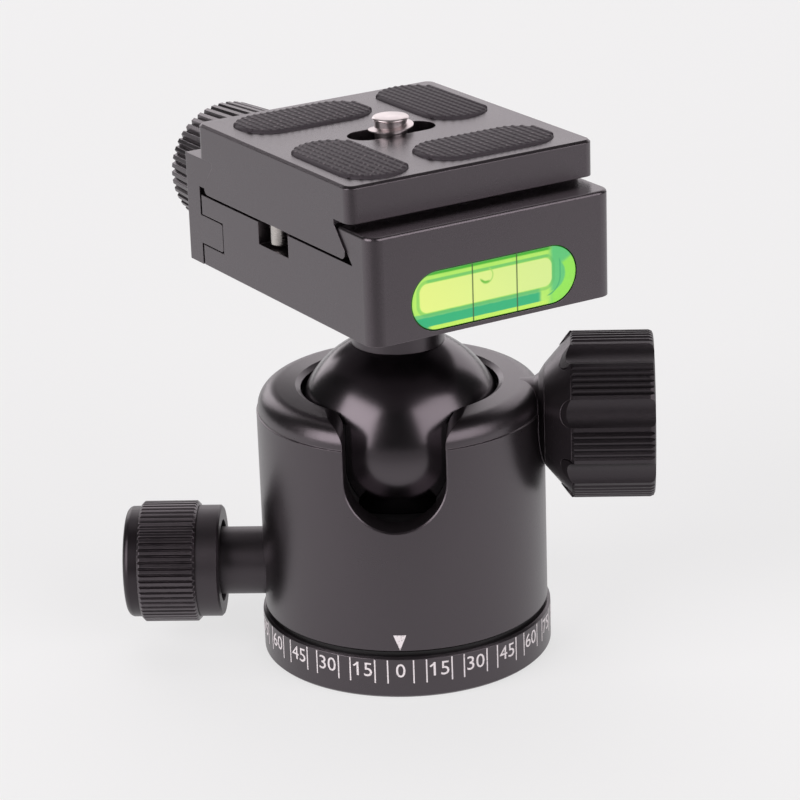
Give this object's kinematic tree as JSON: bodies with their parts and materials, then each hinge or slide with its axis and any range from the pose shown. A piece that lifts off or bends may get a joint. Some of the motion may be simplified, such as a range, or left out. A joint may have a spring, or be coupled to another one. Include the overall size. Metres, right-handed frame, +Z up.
{
  "type": "tripod ball head",
  "caption": "Compact tripod ball head: panning base with degree ring, slotted housing, locking ball, dovetail clamp with spirit level and a quick-release camera plate.",
  "frame": {"origin": "centre of the base underside, at the mouth of the tripod thread", "axes": "+Z up along the pan axis, -Y towards the neck slot and the index mark, +X towards the ball lock knob, -X towards the pan lock knob; the clamp stands turned 34.15 degrees about +Z"},
  "size_m": [0.0764, 0.075, 0.0777],
  "materials": {
    "anodised": "matt black anodised",
    "ball_finish": "polished black anodised",
    "rubber": "moulded black rubber",
    "steel": "machined steel",
    "nickel": "bright nickel plate",
    "brass": "turned",
    "nylon": "black low-friction plastic",
    "plastic": "moulded black plastic",
    "clear": "clear green-tinted acrylic",
    "spirit": "green spirit"
  },
  "bodies": {
    "base": {"base_ring": "anodised", "tripod_thread_insert": "steel", "pan_glide_washer": "nylon"},
    "housing": {"housing": "anodised", "upper_ball_liner": "nylon", "lower_ball_cup": "nylon", "cup_disc_spring": "steel", "ball_chamber_floor": "anodised", "pan_lock_bush": "anodised"},
    "brake_pad": {"ball_brake_pad": "nylon"},
    "main_knob": {"main_lock_stud": "steel", "main_knob_core": "anodised", "main_knob_grip": "rubber", "main_knob_cap": "anodised"},
    "pan_shoe": {"pan_lock_shoe": "brass"},
    "pan_knob": {"pan_lock_stud": "steel", "pan_knob_core": "anodised", "pan_knob_grip": "anodised", "pan_knob_cap": "plastic"},
    "ball": {"ball": "ball_finish"},
    "clamp": {"neck_collar": "anodised", "clamp_body": "anodised", "clamp_fixing_screw": "steel", "level_vial": "clear", "level_spirit": "spirit", "level_plug": "plastic", "jaw_springs": "steel"},
    "jaw": {"movable_jaw": "anodised", "clamp_knob_washer": "steel"},
    "clamp_knob": {"clamp_screw": "steel", "clamp_knob": "anodised"},
    "plate": {"quick_release_plate": "anodised", "rubber_pads": "rubber", "plate_stop_pins": "steel"},
    "screw_carrier": {"camera_screw_washer": "nylon"},
    "camera_screw": {"camera_screw": "nickel"}
  },
  "joints": [
    {"name": "pan", "type": "hinge", "parent": "base", "child": "housing", "pos_m": [0, 0, 0.0123], "axis": [0, 0, 1], "continuous": true},
    {"name": "brake_pad_slide", "type": "slide", "parent": "housing", "child": "brake_pad", "axis": [1, 0, 0], "range_m": [0, 0.0009375]},
    {"name": "main_knob_turn", "type": "hinge", "parent": "brake_pad", "child": "main_knob", "pos_m": [0.028, 0, 0.0341], "axis": [1, 0, 0], "range_deg": [0, 270]},
    {"name": "pan_shoe_slide", "type": "slide", "parent": "housing", "child": "pan_shoe", "axis": [-1, 0, 0], "range_m": [0, 0.0006]},
    {"name": "pan_knob_turn", "type": "hinge", "parent": "pan_shoe", "child": "pan_knob", "pos_m": [-0.033, 0, 0.0123], "axis": [-1, 0, 0], "range_deg": [0, 270]},
    {"name": "ball_tilt", "type": "hinge", "parent": "housing", "child": "ball", "pos_m": [0, 0, 0.03202], "axis": [1, 0, 0], "range_deg": [-35, 90]},
    {"name": "clamp_swivel", "type": "hinge", "parent": "ball", "child": "clamp", "pos_m": [0, 0, 0.05], "axis": [0, 0, 1], "continuous": true},
    {"name": "jaw_slide", "type": "slide", "parent": "clamp", "child": "jaw", "axis": [-0.5614, 0.8276, 0], "range_m": [0, 0.003]},
    {"name": "clamp_knob_turn", "type": "hinge", "parent": "jaw", "child": "clamp_knob", "pos_m": [-0.0227, 0.03293, 0.0607], "axis": [-0.5614, 0.8276, 0], "range_deg": [0, 1080]},
    {"name": "plate_slide", "type": "slide", "parent": "clamp", "child": "plate", "axis": [0.8276, 0.5614, 0], "range_m": [-0.0026, 0.0026]},
    {"name": "camera_screw_shift", "type": "slide", "parent": "plate", "child": "screw_carrier", "axis": [0.8276, 0.5614, 0], "range_m": [-0.0038, 0.0036]},
    {"name": "camera_screw_turn", "type": "hinge", "parent": "screw_carrier", "child": "camera_screw", "pos_m": [-0.00005, 0.00087, 0.072], "axis": [0, 0, 1], "continuous": true}
  ],
  "couplings": [
    {"joint": "main_knob_turn", "follows": "brake_pad_slide", "rad_per_m": 5026.5},
    {"joint": "pan_knob_turn", "follows": "pan_shoe_slide", "rad_per_m": 7853.9},
    {"joint": "clamp_knob_turn", "follows": "jaw_slide", "rad_per_m": 6283.1}
  ]
}
